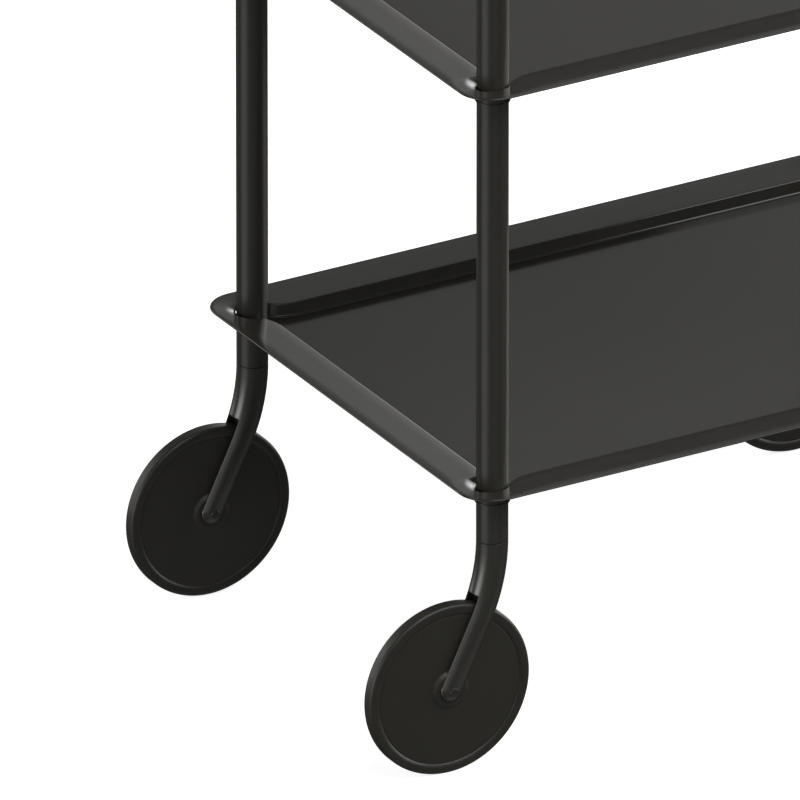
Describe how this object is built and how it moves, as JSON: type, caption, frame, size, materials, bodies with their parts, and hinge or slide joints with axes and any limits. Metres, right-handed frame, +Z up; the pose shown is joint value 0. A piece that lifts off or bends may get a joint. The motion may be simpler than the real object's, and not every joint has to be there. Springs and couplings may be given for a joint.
{
  "type": "tray trolley",
  "caption": "Tiered tray trolley: bent-tube hoops with handle bars carry pressed metal trays, on swivel casters with large thin wheels in slotted legs.",
  "frame": {"origin": "on the floor, below the middle of the trolley's box with all wheels trailing towards -X", "axes": "+X along the long side, away from the trailing wheels; +Y across the trays; +Z up"},
  "size_m": [0.674, 0.435, 0.735],
  "materials": {
    "frame_tube": "black powder coat with a low sheen on steel tube",
    "tray_sheet": "matt black powder coat on pressed steel sheet",
    "caster_metal": "black powder coat on cast metal, like the tube's",
    "axle_metal": "black coated steel",
    "bright_steel": "turned steel, zinc plated",
    "bush_nylon": "black nylon",
    "wheel_plastic": "moulded black plastic with a soft sheen",
    "tyre_rubber": "smooth black rubber tread"
  },
  "bodies": {
    "frame": {"left_hoop": "frame_tube", "right_hoop": "frame_tube", "lower_tray": "tray_sheet", "upper_tray": "tray_sheet", "lower_tray_rings": "frame_tube", "upper_tray_rings": "frame_tube", "front_left_swivel_bush": "bush_nylon", "back_left_swivel_bush": "bush_nylon", "front_right_swivel_bush": "bush_nylon", "back_right_swivel_bush": "bush_nylon"},
    "front_left_caster": {"front_left_caster_leg": "caster_metal", "front_left_swivel_stem": "bright_steel", "front_left_stem_clip": "bright_steel", "front_left_axle": "axle_metal", "front_left_axle_cap": "axle_metal", "front_left_hub_washers": "bush_nylon"},
    "front_left_wheel": {"front_left_hub_bush": "bush_nylon", "front_left_wheel_disc": "wheel_plastic", "front_left_tyre": "tyre_rubber"},
    "back_left_caster": {"back_left_caster_leg": "caster_metal", "back_left_swivel_stem": "bright_steel", "back_left_stem_clip": "bright_steel", "back_left_axle": "axle_metal", "back_left_axle_cap": "axle_metal", "back_left_hub_washers": "bush_nylon"},
    "back_left_wheel": {"back_left_hub_bush": "bush_nylon", "back_left_wheel_disc": "wheel_plastic", "back_left_tyre": "tyre_rubber"},
    "front_right_caster": {"front_right_caster_leg": "caster_metal", "front_right_swivel_stem": "bright_steel", "front_right_stem_clip": "bright_steel", "front_right_axle": "axle_metal", "front_right_axle_cap": "axle_metal", "front_right_hub_washers": "bush_nylon"},
    "front_right_wheel": {"front_right_hub_bush": "bush_nylon", "front_right_wheel_disc": "wheel_plastic", "front_right_tyre": "tyre_rubber"},
    "back_right_caster": {"back_right_caster_leg": "caster_metal", "back_right_swivel_stem": "bright_steel", "back_right_stem_clip": "bright_steel", "back_right_axle": "axle_metal", "back_right_axle_cap": "axle_metal", "back_right_hub_washers": "bush_nylon"},
    "back_right_wheel": {"back_right_hub_bush": "bush_nylon", "back_right_wheel_disc": "wheel_plastic", "back_right_tyre": "tyre_rubber"}
  },
  "joints": [
    {"name": "front_left_swivel", "type": "hinge", "parent": "frame", "child": "front_left_caster", "pos_m": [-0.22545, -0.186, 0.1895], "axis": [0, 0, 1], "continuous": true},
    {"name": "front_left_roll", "type": "hinge", "parent": "front_left_caster", "child": "front_left_wheel", "pos_m": [-0.26585, -0.186, 0.0712], "axis": [0, 1, 0], "continuous": true},
    {"name": "back_left_swivel", "type": "hinge", "parent": "frame", "child": "back_left_caster", "pos_m": [-0.22545, 0.186, 0.1895], "axis": [0, 0, 1], "continuous": true},
    {"name": "back_left_roll", "type": "hinge", "parent": "back_left_caster", "child": "back_left_wheel", "pos_m": [-0.26585, 0.186, 0.0712], "axis": [0, 1, 0], "continuous": true},
    {"name": "front_right_swivel", "type": "hinge", "parent": "frame", "child": "front_right_caster", "pos_m": [0.30555, -0.186, 0.1895], "axis": [0, 0, 1], "continuous": true},
    {"name": "front_right_roll", "type": "hinge", "parent": "front_right_caster", "child": "front_right_wheel", "pos_m": [0.26515, -0.186, 0.0712], "axis": [0, 1, 0], "continuous": true},
    {"name": "back_right_swivel", "type": "hinge", "parent": "frame", "child": "back_right_caster", "pos_m": [0.30555, 0.186, 0.1895], "axis": [0, 0, 1], "continuous": true},
    {"name": "back_right_roll", "type": "hinge", "parent": "back_right_caster", "child": "back_right_wheel", "pos_m": [0.26515, 0.186, 0.0712], "axis": [0, 1, 0], "continuous": true}
  ]
}
